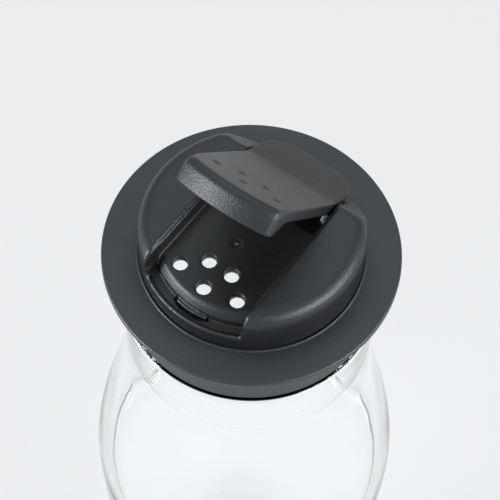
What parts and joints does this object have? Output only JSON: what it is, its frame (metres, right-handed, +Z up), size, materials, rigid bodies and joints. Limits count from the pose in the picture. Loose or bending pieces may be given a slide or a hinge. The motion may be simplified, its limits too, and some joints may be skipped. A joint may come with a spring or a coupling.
{
  "type": "spice shaker",
  "caption": "Clear waisted jar with a black screw cap, whose rocker flap pivots between two cheeks to open and plug a sifter plate.",
  "frame": {"origin": "centre of the jar's base, on the surface that it stands on", "axes": "+Z up along the jar's axis, -Y towards the sifter holes, +Y towards the flap's pivot, X along the pivot"},
  "size_m": [0.0664, 0.0664, 0.1292],
  "materials": {
    "clear_jar": "clear, polished",
    "liner_white": "soft, matt",
    "collar_black": "fine spark texture, satin",
    "insert_black": "fine spark texture, satin",
    "flap_black": "fine spark texture, satin"
  },
  "bodies": {
    "jar": {"jar": "clear_jar"},
    "seal": {"seal_liner": "liner_white"},
    "cap": {"screw_collar": "collar_black", "shaker_insert": "insert_black"},
    "flap": {"flap": "flap_black"}
  },
  "joints": [
    {"name": "cap_rise", "type": "slide", "parent": "jar", "child": "seal", "axis": [0, 0, 1], "range_m": [0, 0.00376]},
    {"name": "cap_turn", "type": "hinge", "parent": "seal", "child": "cap", "pos_m": [0, 0, 0.099], "axis": [0, 0, 1], "range_deg": [0, 450]},
    {"name": "flap_hinge", "type": "hinge", "parent": "cap", "child": "flap", "pos_m": [0, 0.0095, 0.1051], "axis": [1, 0, 0], "range_deg": [0, 48.5]}
  ],
  "couplings": [
    {"joint": "cap_rise", "follows": "cap_turn", "m_per_rad": 0.00047746}
  ]
}
